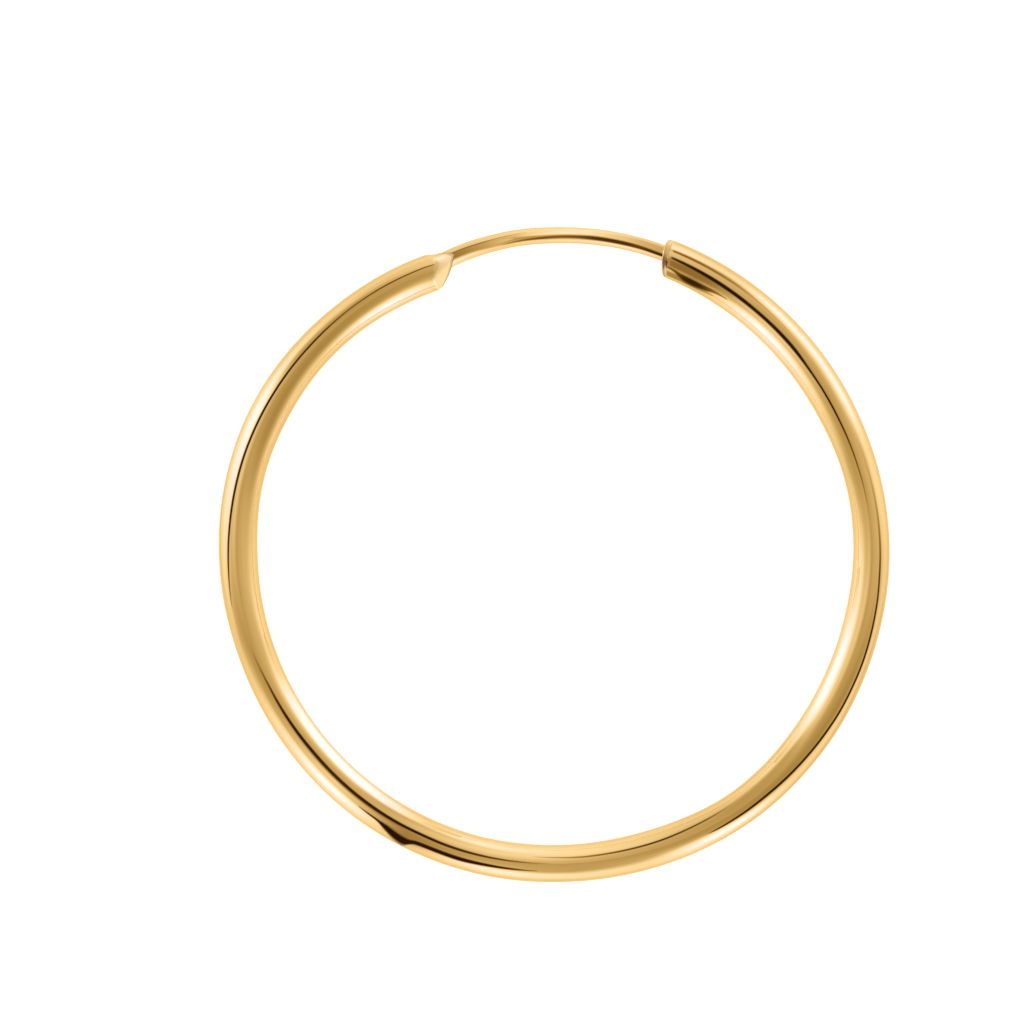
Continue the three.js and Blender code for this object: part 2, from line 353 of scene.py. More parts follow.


# %% [markdown]
# The stations lie close together where the shape turns quickly, at the pinch and at the rim, and further
# apart along the plain ring. The bore is seen only through the mouth, so it gets by with fewer.
#
# Two marks go with the surface, each from 0 to 1. Satin is how finely rough the metal was left by the jaw at
# the pinch and by the tool at the mouth, and it also paints a paler sheen into the gold there. Painted shade
# is how much the gold is darkened to stand in for shade: behind the mouth's rim, in its inner corner, on the
# lip's inner half, at the pinch's cut edge and in the bore.

# %% The tube's surface
TUBE_SIDES = 80
OUTER_STEP = 0.6
BORE_STEP = 2.4
FACE_STATIONS = 60
LIP_STATIONS = 26
BORE_LIP_STATIONS = 6
BORE_FACE_STATIONS = 24
EDGE_STATIONS = 11

# Distances from the ends are in millimetres, and places across go from -1 inside to 1 outside. A pair of
# numbers is where a mark starts to change and where it has changed
# Where the satin roughness lies, and with it a painted paler sheen
SATIN_AND_SHEEN_BREAK_FADE = 0.15
SATIN_AND_SHEEN_OUTER_FADE = (0.4, 0.8)
SATIN_AND_SHEEN_LIP = 0.55
SATIN_AND_SHEEN_LIP_START = (0.05, 0.09)
SATIN_AND_SHEEN_LIP_END = (0.2, 0.3)
# Painted shade: darker gold that stands in for shade in a ring behind the mouth's rim, a spot in the mouth's
# inner corner, the lip's inner half, the pinch's cut edge and the bore
RIM_SHADE, RIM_SHADE_FROM_MOUTH, RIM_SHADE_WIDTH = 0.2, 0.1, 0.025
SPOT_FROM_MOUTH, SPOT_LENGTH = 0.11, 0.06
SPOT_ACROSS, SPOT_WIDTH = -0.55, 0.14
LIP_SHADE = 0.45
LIP_SHADE_START = (0.03, 0.07)
LIP_SHADE_END = (0.16, 0.3)
LIP_SHADE_ACROSS = (-0.1, 0.6)
# Each row: share, and how far from the pinched end it starts and stops fading
EDGE_SHADE = ((0.4, 0, 0.05), (0.35, 0.08, 0.2))
BORE_SHADE = 0.5


def tube_profile():
    """Lists station, skin and radius once round the wall's cut: the skin is 1 outside and 0 in the bore,
    and both ends are half ellipses between the two."""
    body_start = PINCH_ANGLE + PINCH_FACE_LENGTH * DEGREES_PER_MM
    lip_start = TUBE_END_ANGLE - MOUTH_LIP_LENGTH * DEGREES_PER_MM
    rim = TUBE_END_ANGLE - MOUTH_EDGE_ROUNDING * DEGREES_PER_MM
    outer = np.r_[
        np.linspace(PINCH_ANGLE, body_start, FACE_STATIONS, endpoint=False),
        np.linspace(body_start, lip_start, round((lip_start - body_start) / OUTER_STEP), endpoint=False),
        np.linspace(lip_start, rim, LIP_STATIONS),
    ]
    bore = np.r_[
        np.linspace(rim, lip_start, BORE_LIP_STATIONS, endpoint=False),
        np.linspace(lip_start, body_start, round((lip_start - body_start) / BORE_STEP), endpoint=False),
        np.linspace(body_start, PINCH_ANGLE, BORE_FACE_STATIONS),
    ]
    arc = np.linspace(0, np.pi, EDGE_STATIONS)[1:-1]
    mouth_edge = rim + MOUTH_EDGE_ROUNDING * DEGREES_PER_MM * np.sin(arc)
    pinch_edge = PINCH_ANGLE - LIP_EDGE_ROUNDING * DEGREES_PER_MM * np.sin(arc)
    station = np.r_[outer, mouth_edge, bore, pinch_edge]
    half = np.cos(arc) / 2
    skin = np.r_[np.ones(len(outer)), 0.5 + half, np.zeros(len(bore)), 0.5 - half]
    lip_end = TUBE_END_ANGLE - MOUTH_RIM_LENGTH * DEGREES_PER_MM
    drop = MOUTH_LIP_DROP * smooth_share(station, lip_start, lip_end)
    return station, skin, BORE_RADIUS + TUBE_WALL * skin - drop


def faded_share(value, rises, falls):
    """Rises smoothly from 0 to 1 between the first two values, and falls back to 0 between the next two."""
    return smooth_share(value, *rises) * (1 - smooth_share(value, *falls))


def bell_share(value, middle, width):
    """1 at the middle: e to the power of minus the square of the distance from it in widths."""
    return np.exp(-((value - middle) / width) ** 2)


def satin_and_sheen_share(station, skin, turn):
    """The pressed face is as fine as the jaw that pressed it: 1 on the face, fading out across the break and
    on the ring's outer side. The mouth's lip is half as dull, as the tool that turned it in left it. The same
    share also paints a paler sheen into the gold's colour."""
    from_mouth = (TUBE_END_ANGLE - station) / DEGREES_PER_MM
    from_pinch = (station - PINCH_ANGLE) / DEGREES_PER_MM
    across = np.cos(turn)
    break_at = break_line(across)
    face = 1 - smooth_share(from_pinch, break_at - SATIN_AND_SHEEN_BREAK_FADE, break_at + SATIN_AND_SHEEN_BREAK_FADE)
    face = face * (1 - smooth_share(across, *SATIN_AND_SHEEN_OUTER_FADE))
    return face + SATIN_AND_SHEEN_LIP * faded_share(from_mouth, SATIN_AND_SHEEN_LIP_START, SATIN_AND_SHEEN_LIP_END) * skin


def painted_shade_share(station, skin, turn):
    """Painted shade: a fine dark ring behind the mouth's rim, and a dark spot in the inner corner of the
    mouth, where the lip meets the wire. The inner half of the lip, the cut edge at the pinch and the bore get
    a lighter painted shade, and are a little rougher."""
    from_mouth = (TUBE_END_ANGLE - station) / DEGREES_PER_MM
    from_pinch = (station - PINCH_ANGLE) / DEGREES_PER_MM
    across = np.cos(turn)
    rim_shade = RIM_SHADE * bell_share(from_mouth, RIM_SHADE_FROM_MOUTH, RIM_SHADE_WIDTH)
    spot = bell_share(from_mouth, SPOT_FROM_MOUTH, SPOT_LENGTH) * bell_share(across, SPOT_ACROSS, SPOT_WIDTH)
    lip = LIP_SHADE * faded_share(from_mouth, LIP_SHADE_START, LIP_SHADE_END)
    lip = lip * (1 - smooth_share(across, *LIP_SHADE_ACROSS))
    edge = sum(share * (1 - smooth_share(from_pinch, begin, end)) for share, begin, end in EDGE_SHADE)
    return np.clip(np.maximum(np.maximum(rim_shade, spot), lip) * skin + edge + BORE_SHADE * (1 - skin), 0, 1)


station, skin, radius = (column[:, None] for column in tube_profile())
turn = np.linspace(0, 2 * np.pi, TUBE_SIDES, endpoint=False)[None, :]
tube_points = tube_skin(station, skin, radius, turn)
tube_straight = np.stack(np.broadcast_arrays(
    (station - PINCH_ANGLE) / DEGREES_PER_MM, radius * np.cos(turn), radius * np.sin(turn)), axis=-1)
# The tube's two marks: satin roughness with a painted paler sheen, and painted shade
hoop_tube = metal_piece(
    "polished_hoop_tube", tube_points, tube_straight, closed_along=True,
    marks=[("satin", satin_and_sheen_share(station, skin, turn)), ("tarnish", painted_shade_share(station, skin, turn))])
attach(hoop_tube, "root")
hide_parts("hoop_tube")

# %% [markdown]
# ## The ear wire
#
# The wire is solid and tapers from its socket to its free end. Both tips are hidden, and rounded so that
# the free one slips past the rim. It is a round profile carried along the wire's line.

# %% The wire's surface
WIRE_SIDES = 48
WIRE_STEP = 0.3
TIP_STATIONS = 14
TIP_START_TURN = 0.06


def wire_profile():
    """Lists angle and radius: the girth follows the table, and within one radius of a tip it is also
    multiplied by the height of a quarter circle."""
    tip = WIRE_RADIUS * DEGREES_PER_MM
    bow = np.sin(np.linspace(TIP_START_TURN, np.pi / 2, TIP_STATIONS)) ** 2
    middle = np.linspace(wire_start + tip, wire_end - tip, round((wire_end - wire_start) / WIRE_STEP))
    angle = np.r_[wire_start + tip * bow[:-1], middle, wire_end - tip * bow[:-1][::-1]]
    inside = np.minimum(angle - wire_start, wire_end - angle) / tip
    quarter = np.sqrt(np.clip(1 - (1 - np.minimum(inside, 1)) ** 2, 0, 1))
    return angle, np.interp(angle, wire_angles, fine_girth) * quarter


wire_angle, wire_girth = (column[:, None] for column in wire_profile())
wire_turn = np.linspace(0, 2 * np.pi, WIRE_SIDES, endpoint=False)[None, :]
wire_distance = wire_line(wire_angle) + wire_girth * np.cos(wire_turn)
wire_points = ring_point(*np.broadcast_arrays(wire_angle, wire_distance, wire_girth * np.sin(wire_turn)))
wire_straight = np.stack(np.broadcast_arrays(
    wire_angle / DEGREES_PER_MM, wire_girth * np.cos(wire_turn), wire_girth * np.sin(wire_turn)), axis=-1)
ear_wire = metal_piece("polished_ear_wire", wire_points, wire_straight, closed_along=False)
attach(ear_wire, "root")
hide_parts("ear_wire")

# %% [markdown]
# ## Shader maths
#
# A material or a studio is a small calculation. The class below wraps one socket of a node tree, so that a
# sum or a product of signals can be written as in any Python formula and becomes Math nodes. Every other
# kind of node comes from its method add.

# %% A signal is a socket that can be reckoned with
class Signal:
    """One output socket, with the operators that its tree needs."""

    def __init__(self, tree, socket=None):
        self.tree, self.socket = tree, socket

    def add(self, kind, settings=None, output=0, **inputs):
        """Adds a node: its settings are set first, then each named socket gets a value or a link."""
        made = self.tree.nodes.new(kind)
        for name, value in (settings or {}).items():
            if name == "stops":
                while len(made.color_ramp.elements) < len(value):
                    made.color_ramp.elements.new(0.5)
                for element, (position, colour) in zip(made.color_ramp.elements, value):
                    element.position, element.color = position, (*colour, 1)
            else:
                setattr(made, name, value)
        for name, value in inputs.items():
            socket = made.inputs[int(name[1:]) if name[1:].isdigit() else name.replace("_", " ")]
            if isinstance(value, Signal):
                self.tree.links.new(value.socket, socket)
            else:
                socket.default_value = value
        return Signal(self.tree, made.outputs[output]) if len(made.outputs) else None

    def maths(self, operation, *values):
        """Adds a Math node, whose sockets are known by their number."""
        numbered = {f"i{number}": value for number, value in enumerate(values)}
        return self.add("ShaderNodeMath", {"operation": operation}, **numbered)

    def __add__(self, other):
        return self.maths("ADD", self, other)

    def __sub__(self, other):
        return self.maths("SUBTRACT", self, other)

    def __rsub__(self, other):
        return self.maths("SUBTRACT", other, self)

    def __mul__(self, other):
        return self.maths("MULTIPLY", self, other)

    def __truediv__(self, other):
        return self.maths("DIVIDE", self, other)

    def __abs__(self):
        return self.maths("ABSOLUTE", self)

    __radd__, __rmul__ = __add__, __mul__

    def soft_step(self, start, end):
        """Rises from 0 at start to 1 at end, level at both."""
        return self.add("ShaderNodeMapRange", {"interpolation_type": "SMOOTHSTEP"},
                        Value=self, From_Min=start, From_Max=end)

    def mark(self, label):
        """Reads a share that the mesh keeps for each of its points."""
        return self.add("ShaderNodeAttribute", {"attribute_name": label}, output="Fac")

    def tinted(self, share, colour):
        """Mixes in some of a fixed colour."""
        return self.add("ShaderNodeMix", {"data_type": "RGBA"}, output=2, i0=share, i6=self, i7=(*colour, 1))

    def shaders_mixed(self, share, first, second):
        """The first shader where the share is 0, the second where it is 1."""
        return self.add("ShaderNodeMixShader", i0=share, i1=first, i2=second)


# %% [markdown]
# ## Polished gold
#
# Gold is a metal, so its colour is the colour of its mirror. A polished jewel is not a perfect one: the
# drawing die leaves faint lines along the tube, the polishing wheel leaves soft waves and hair lines, and
# handling dulls small patches. Each is a noise, and it is stretched along the straight metal where the mark
# runs that way. They only move the roughness, the colour and the bump by a little.
#
# Satin makes the gold rougher and also paints a paler sheen into its colour, and the painted shade makes it
# brown. Where the metal mirrors itself, its colour would count twice and turn too brown, so the gold that a
# mirrored ray finds is nearly white.

# %% The gold's finish
GOLD = (0.79, 0.53, 0.215)
GOLD_WORN = (0.755, 0.49, 0.19)
# Painted sheen: a paler gold laid on the satin faces
GOLD_PAINTED_SHEEN = (0.98, 0.74, 0.38)
# Painted shade: a brown laid where the shade mark lies
GOLD_PAINTED_SHADE = (0.20, 0.10, 0.02)
GOLD_IN_GOLD = (1, 0.98, 0.92)
GOLD_IN_GOLD_SHARE = 0.85
GOLD_EDGE_TINT = (1, 0.88, 0.65)
# How often in a millimetre each noise changes along the metal and in the two ways across it, and its detail
DRAWN_LINES = ((0.12, 9.0, 9.0), 3.0)
POLISH_WAVES = ((0.35, 0.8, 0.8), 1.0)
HAIR_LINES = ((2.0, 60.0, 60.0), 2.0)
DULL_PATCHES = ((0.5, 1.5, 1.5), 4.0)
# Where in their noise the patches and the worn lines start, and where they are full
PATCH_STEP = (0.5, 0.75)
WORN_LINE_STEP = (0.45, 0.7)
WORN_SHARE = 0.5
# What each mark adds to the roughness
LINES_ROUGHNESS = 0.03
PATCHES_ROUGHNESS = 0.05
SATIN_ROUGHNESS = 0.42
PAINTED_SHADE_ROUGHNESS = 0.15
# How high the lines stand, in millimetres
LINES_HEIGHT = 0.0005
HAIR_HEIGHT = 0.00005


def polished_gold(name, roughness, wave_height):
    """Gold with its marks. The wave height is in millimetres, as is the relief, so the bump's distance is
    one millimetre."""
    material = bpy.data.materials.new(name)
    material.use_nodes = True
    tree = material.node_tree
    tree.nodes.clear()
    start = Signal(tree)
    way = start.add("ShaderNodeAttribute", {"attribute_name": "straight_metal"}, output="Vector")

    def noise(scale, detail):
        stretched = start.add("ShaderNodeVectorMath", {"operation": "MULTIPLY"}, i0=way, i1=scale)
        return start.add("ShaderNodeTexNoise", Vector=stretched, Scale=1.0, Detail=detail)

    drawn_lines = noise(*DRAWN_LINES)
    polish_waves = noise(*POLISH_WAVES)
    hair_lines = noise(*HAIR_LINES)
    dull_patches = noise(*DULL_PATCHES).soft_step(*PATCH_STEP)
    worn = dull_patches * WORN_SHARE + drawn_lines.soft_step(*WORN_LINE_STEP) * WORN_SHARE
    satin, tarnish = start.mark("satin"), start.mark("tarnish")
    mirrored = start.add("ShaderNodeLightPath", output="Is Glossy Ray")
    colour = start.add("ShaderNodeMix", {"data_type": "RGBA"}, output=2,
                       i0=worn, i6=(*GOLD, 1), i7=(*GOLD_WORN, 1))
    # A painted sheen on the satin faces, then painted shade
    colour = colour.tinted(satin, GOLD_PAINTED_SHEEN).tinted(tarnish, GOLD_PAINTED_SHADE)
    colour = colour.tinted(mirrored * GOLD_IN_GOLD_SHARE, GOLD_IN_GOLD)
    surface = roughness + LINES_ROUGHNESS * drawn_lines + PATCHES_ROUGHNESS * dull_patches
    surface = surface + SATIN_ROUGHNESS * satin + PAINTED_SHADE_ROUGHNESS * tarnish
    relief = polish_waves * wave_height + drawn_lines * LINES_HEIGHT + hair_lines * HAIR_HEIGHT
    bump = start.add("ShaderNodeBump", Strength=1.0, Distance=MM, Height=relief)
    gold = start.add("ShaderNodeBsdfPrincipled", Base_Color=colour, Metallic=1.0, Roughness=surface,
                     Specular_Tint=(*GOLD_EDGE_TINT, 1), Normal=bump)
    start.add("ShaderNodeOutputMaterial", Surface=gold)
    return material


hoop_tube.data.materials.append(polished_gold("polished_gold_tube", roughness=0.045, wave_height=0.003))
ear_wire.data.materials.append(polished_gold("polished_gold_wire", roughness=0.06, wave_height=0.002))

# %% [markdown]
# ## The table
#
# Small jewels are photographed on a sheet of white acrylic that is lit from below as well as from above, so
# that no dark shadow gathers round them. The table here glows a little for the same reason. Its gloss is
# strong only at a low angle, which is how the metal sees it, so only mirrored rays find it a mirror.

# %% A pale, softly glowing table
TABLE_RADIUS = 1.6
TABLE_SIDES = 96
bpy.ops.mesh.primitive_circle_add(vertices=TABLE_SIDES, radius=TABLE_RADIUS, fill_type="NGON")
table = bpy.context.active_object
table.name = "pale_table"
acrylic = bpy.data.materials.new("lit_acrylic")
acrylic.use_nodes = True
acrylic.node_tree.nodes.clear()
start = Signal(acrylic.node_tree)
glowing = start.add("ShaderNodeBsdfPrincipled", Base_Color=(0.6, 0.6, 0.6, 1), Roughness=0.3,
                    Emission_Color=(1, 1, 1, 1), Emission_Strength=0.6)
mirror = start.add("ShaderNodeBsdfPrincipled", Base_Color=(1, 1, 1, 1), Metallic=1.0, Roughness=0.12)
mirrored = start.add("ShaderNodeLightPath", output="Is Glossy Ray")
gloss = mirrored * start.add("ShaderNodeFresnel", IOR=2.5)
start.add("ShaderNodeOutputMaterial", Surface=start.shaders_mixed(gloss, glowing, mirror))
table.data.materials.append(acrylic)

# %% [markdown]
# ## The camera
#
# The picture is square and looks straight down. Its middle lies a little to the left of the ring's middle
# and above it. A long lens keeps the ring free of perspective.

# %% Camera
PICTURE_PIXELS = 1025
PIXELS_PER_MM = 19.06
RING_MIDDLE_PIXEL = (554.3, 551.0)
CAMERA_DISTANCE = 600
SENSOR_WIDTH = 36
picture_width = PICTURE_PIXELS / PIXELS_PER_MM
camera_data = bpy.data.cameras.new("camera")
camera_data.sensor_width = SENSOR_WIDTH
camera_data.lens = SENSOR_WIDTH * CAMERA_DISTANCE / picture_width
camera_data.clip_start, camera_data.clip_end = 0.01, 10
camera = bpy.data.objects.new("camera", camera_data)
bpy.context.scene.collection.objects.link(camera)
camera.location = (
    (PICTURE_PIXELS / 2 - RING_MIDDLE_PIXEL[0]) / PIXELS_PER_MM * MM,
    (RING_MIDDLE_PIXEL[1] - PICTURE_PIXELS / 2) / PIXELS_PER_MM * MM,
    (TUBE_RADIUS + CAMERA_DISTANCE) * MM,
)
bpy.context.scene.camera = camera
print(f"picture {picture_width:.2f} mm wide, lens {camera_data.lens:.0f} mm")

# %% [markdown]
# ## The studio
#
# A polished tube shows its whole surroundings in narrow bands, so its look is mostly a picture of the
# studio. This one is a pale tent: a calm ceiling overhead, brighter walls round it, four soft lamps behind
# the walls, and some places that are brighter or dimmer than the rest.
#
# Each lamp or place is one panel of the tent. A row gives its azimuth and zenith angle in degrees, its half
# width and half height, how far it leans, how soft its sides and its ends are, and its tone from 0 to 1.
# The panels are laid over the tent one after another.

# %% Tones of the tent and its panels
# Each tone is a level, then how much it rises to the east, to the north, and in two saddles
CEILING_TONE = (0.458, 0.178, -0.015, 0.056, -0.366)
WALL_TONE = (0.784, -0.172, -0.150, 0.141, 0.134)
WALL_STARTS, WALL_ENDS = 44.7, 81
PANELS = [
    ("lamp front right", 38, 88, 15, 32, 0.05, 6, 40, 0.97),
    ("lamp back left", 169, 87, 23, 50, 0.23, 7.5, 29, 0.95),
    ("lamp front left", 228, 70, 23, 31, -0.32, 29, 32, 1.14),
    ("lamp back right", 301, 96, 9.5, 44, 1, 8, 26, 0.97),
    ("right wall", 78, 92, 19, 33, -0.63, 28.5, 10, 0.95),
    ("back wall", 83, 45, 22, 30, 0.36, 21.5, 40, 0.72),
    ("gap in the front wall", 243, 66.5, 1, 60, 1, 21, 19.5, 0.03),
    ("dim wall", 197, 67, 17.6, 41, 0.87, 27.4, 40, 0.46),
    ("dim corner", 324, 34, 31, 31, 0.81, 24.5, 28, 0.38),
    ("bright ceiling", 166, 20, 20.5, 11.5, -0.14, 20.6, 16.4, 0.66),
    ("bright ceiling in front", 227, 24, 5.8, 10.3, -0.09, 20.3, 5.4, 0.77),
]

# %% [markdown]
# The tent is the world's background, and its direction gives the azimuth and the zenith angle. The last
# step turns the tone into light: the shadows of the tent are warm and its lamps are cool, so the gold goes
# from brown through yellow to white. The camera and the table see a plain pale backdrop in place of the
# tent, so that a low view shows no lamps behind the jewel and the table keeps neutral.

# %% Light the tent
TONE_COLOURS = [
    (0.04, (0.030, 0.012, 0.004)), (0.10, (0.080, 0.043, 0.014)), (0.20, (0.222, 0.144, 0.042)),
    (0.32, (0.409, 0.322, 0.140)), (0.45, (0.656, 0.582, 0.381)), (0.55, (0.853, 0.801, 0.649)),
    (0.64, (1.076, 1.070, 1.020)), (0.69, (1.180, 1.219, 1.270)), (0.755, (1.363, 1.380, 1.706)),
    (0.84, (1.590, 1.559, 2.495)), (0.925, (1.818, 1.744, 3.528)), (1.0, (2.158, 1.988, 4.430)),
]


def light_of(tone):
    """The light of a tone, read off the table of colours."""
    return tone.add("ShaderNodeValToRGB", {"stops": TONE_COLOURS}, Fac=tone)


world = bpy.data.worlds.new("light_tent")
bpy.context.scene.world = world
world.cycles.sampling_method = "NONE"
world.use_nodes = True
world.node_tree.nodes.clear()
tent = Signal(world.node_tree)
direction = tent.add("ShaderNodeTexCoord", output="Generated")
east, north, height = (tent.add("ShaderNodeSeparateXYZ", output=axis, Vector=direction) for axis in "XYZ")
azimuth = tent.maths("DEGREES", tent.maths("ARCTAN2", north, east))
zenith = tent.maths("DEGREES", tent.maths("ARCCOSINE", height))
slopes = (east, north, east * east - north * north, east * north)
ceiling, wall = (tone[0] + sum(rise * slope for rise, slope in zip(slopes, tone[1:]))
                 for tone in (CEILING_TONE, WALL_TONE))
tone = ceiling + zenith.soft_step(WALL_STARTS, WALL_ENDS) * (wall - ceiling)
for _, side, down, half_width, half_height, lean, side_soft, end_soft, panel_tone in PANELS:
    along = tent.maths("WRAP", azimuth - side, 180.0, -180.0)
    across = abs(zenith - down - along * lean)
    mask = abs(along).soft_step(half_width + side_soft, half_width - side_soft)
    mask = mask * across.soft_step(half_height + end_soft, half_height - end_soft)
    tone = tone + mask * (panel_tone - tone)
camera_ray = tent.add("ShaderNodeLightPath", output="Is Camera Ray")
diffuse_ray = tent.add("ShaderNodeLightPath", output="Is Diffuse Ray")
lit_tent = tent.add("ShaderNodeBackground", Color=light_of(tone), Strength=1.0)
plain_tent = tent.add("ShaderNodeBackground", Color=(1, 1, 1, 1), Strength=1.0)
plain_ray = tent.maths("MAXIMUM", camera_ray, diffuse_ray)
tent.add("ShaderNodeOutputWorld", Surface=tent.shaders_mixed(plain_ray, lit_tent, plain_tent))
bpy.context.scene.view_settings.view_transform = "Standard"

# %% [markdown]
# ## Dark flags and pale cards
#
# Crisp lines are what makes polished metal look like metal. A photographer hangs narrow black flags and
# small white cards close to the jewel, and moves each of them until its reflection lies where it should. The
# same is done here by the law of the mirror: a table says where along the metal, and how far across it, the
# reflection is to lie, and the strip is put on the mirrored line of sight, a short way out from the metal.
#
# Each strip is there for the metal beside it only. A mirrored ray sees it if it has come no further than a
# tenth more than the strip's own distance, so the ring's far side doesn't see it. The strips cast no shadow,
# the camera looks through them, and they are not counted among the lamps.

# %% Where each strip is to be seen
# For each strip: its distance from the metal in millimetres, then its rows. Each row: angle of the ring, how
# far across the metal from -1 inside to 1 outside, half thickness in the same measure, tone. A strip and its
# soft edge have to end before the metal does, at -1 and 1
TUBE_FLAGS = {
    "left_line": (15, [
        (112, 0.330, 0.012, 0.30), (114, 0.345, 0.030, 0.20), (119, 0.324, 0.034, 0.14),
        (124, 0.313, 0.036, 0.15), (129, 0.295, 0.040, 0.22), (134, 0.270, 0.044, 0.16),
        (139, 0.252, 0.050, 0.05), (144, 0.251, 0.054, 0.03), (149, 0.252, 0.060, 0.02),
        (154, 0.264, 0.062, 0.02), (159, 0.286, 0.062, 0.02), (164, 0.330, 0.062, 0.02),
        (169, 0.369, 0.060, 0.02), (174, 0.412, 0.056, 0.03), (179, 0.464, 0.050, 0.04),
        (184, 0.520, 0.038, 0.12), (190, 0.610, 0.012, 0.30),
    ]),
    "right_line": (15, [
        (298.5, 0.330, 0.016, 0.20), (300.5, 0.346, 0.040, 0.05), (305.5, 0.345, 0.056, 0.02),
        (310.5, 0.352, 0.062, 0.02), (315.5, 0.411, 0.064, 0.02), (320.5, 0.470, 0.060, 0.02),
        (325.5, 0.530, 0.058, 0.02), (330.5, 0.587, 0.052, 0.02), (335.5, 0.608, 0.050, 0.03),
        (340.5, 0.615, 0.050, 0.03), (345.5, 0.579, 0.048, 0.04), (350.5, 0.541, 0.046, 0.06),
        (355.5, 0.486, 0.046, 0.12), (360, 0.470, 0.050, 0.25), (366, 0.450, 0.050, 0.38),
        (374, 0.420, 0.040, 0.48), (380, 0.400, 0.015, 0.52),
    ]),
    "upper_crest": (15, [
        (366, -0.020, 0.010, 0.45), (370, -0.018, 0.030, 0.36), (375, -0.051, 0.036, 0.22),
        (380, -0.068, 0.042, 0.14), (385, -0.098, 0.046, 0.05), (390, -0.103, 0.050, 0.04),
        (395, -0.105, 0.056, 0.03), (400, -0.058, 0.094, 0.02), (405, -0.045, 0.098, 0.02),
        (410, -0.037, 0.094, 0.02), (415, -0.012, 0.100, 0.02), (420, 0.018, 0.098, 0.02),
        (425, 0.053, 0.080, 0.02), (428.5, 0.085, 0.060, 0.04),
    ]),
    "outer_streak": (15, [
        (401, 0.340, 0.010, 0.55), (406, 0.370, 0.030, 0.52), (411, 0.400, 0.040, 0.47),
        (415, 0.432, 0.055, 0.38), (420, 0.435, 0.062, 0.30), (425, 0.445, 0.062, 0.26),
        (428.5, 0.450, 0.050, 0.26),
    ]),
    "lower_crest": (15, [
        (197, 0.200, 0.012, 0.40), (200, 0.168, 0.032, 0.34), (205, 0.079, 0.050, 0.16),
        (210, 0.051, 0.070, 0.07), (215, 0.022, 0.080, 0.05), (220, -0.005, 0.088, 0.06),
        (225, -0.004, 0.086, 0.07), (230, -0.003, 0.086, 0.06), (235, -0.007, 0.084, 0.04),
        (240, -0.012, 0.080, 0.02), (245, -0.030, 0.074, 0.02), (250, -0.008, 0.074, 0.08),
        (255, -0.002, 0.060, 0.10), (260, -0.004, 0.046, 0.16), (265, -0.007, 0.032, 0.30),
        (269, -0.007, 0.010, 0.42),
    ]),
    "inner_seam": (8, [
        (266, -0.340, 0.010, 0.50), (270, -0.329, 0.030, 0.44), (275, -0.293, 0.040, 0.32),
        (280, -0.294, 0.044, 0.24), (285, -0.293, 0.044, 0.15), (290, -0.305, 0.044, 0.10),
        (295, -0.343, 0.046, 0.15), (300, -0.372, 0.040, 0.22), (305, -0.410, 0.015, 0.42),
    ]),
    "wedge": (1.5, [
        (232.5, 0.40, 0.015, 0.20), (235, 0.41, 0.045, 0.06), (236.7, 0.43, 0.06, 0.04),
        (238.7, 0.52, 0.15, 0.02), (240.2, 0.61, 0.20, 0.02), (241.6, 0.67, 0.22, 0.02),
        (242.8, 0.68, 0.22, 0.02), (243.6, 0.60, 0.15, 0.03), (244.3, 0.51, 0.12, 0.04),
        (246.2, 0.46, 0.11, 0.04), (249, 0.45, 0.11, 0.04), (253, 0.46, 0.11, 0.04),
        (256, 0.44, 0.09, 0.04), (259, 0.42, 0.07, 0.04), (263, 0.41, 0.045, 0.12),
        (267, 0.40, 0.015, 0.32),
    ]),
    "mouth_spot": (2.5, [
        (415.5, -0.47, 0.02, 0.42), (418, -0.50, 0.07, 0.28), (420.5, -0.60, 0.13, 0.12),
        (422.5, -0.64, 0.16, 0.07), (424.5, -0.63, 0.15, 0.09), (425.7, -0.57, 0.10, 0.14),
        (427, -0.48, 0.06, 0.20), (428.7, -0.43, 0.04, 0.24),
    ]),
    "mouth_side": (3, [
        (418, -0.72, 0.02, 0.50), (421, -0.74, 0.10, 0.40), (424, -0.75, 0.13, 0.36),
        (428.7, -0.75, 0.13, 0.40),
    ]),
    "inner_lamp_left": (1.5, [
        (196, -0.68, 0.04, 0.60), (203, -0.68, 0.14, 0.72), (210, -0.67, 0.19, 0.92),
        (220, -0.68, 0.20, 1.00), (230, -0.68, 0.20, 1.00), (238, -0.68, 0.18, 0.88),
        (245, -0.68, 0.12, 0.70), (252, -0.68, 0.04, 0.62),
    ]),
    "inner_lamp_right": (1.5, [
        (316, -0.62, 0.03, 0.60), (323, -0.62, 0.10, 0.78), (330, -0.62, 0.13, 0.96),
        (342, -0.62, 0.13, 0.96), (350, -0.62, 0.09, 0.78), (357, -0.62, 0.03, 0.60),
    ]),
    "mouth_shade": (16, [
        (415, -0.18, 0.03, 0.46), (418, -0.19, 0.10, 0.38), (421, -0.20, 0.15, 0.30),
        (428.7, -0.20, 0.16, 0.28),
    ]),
}
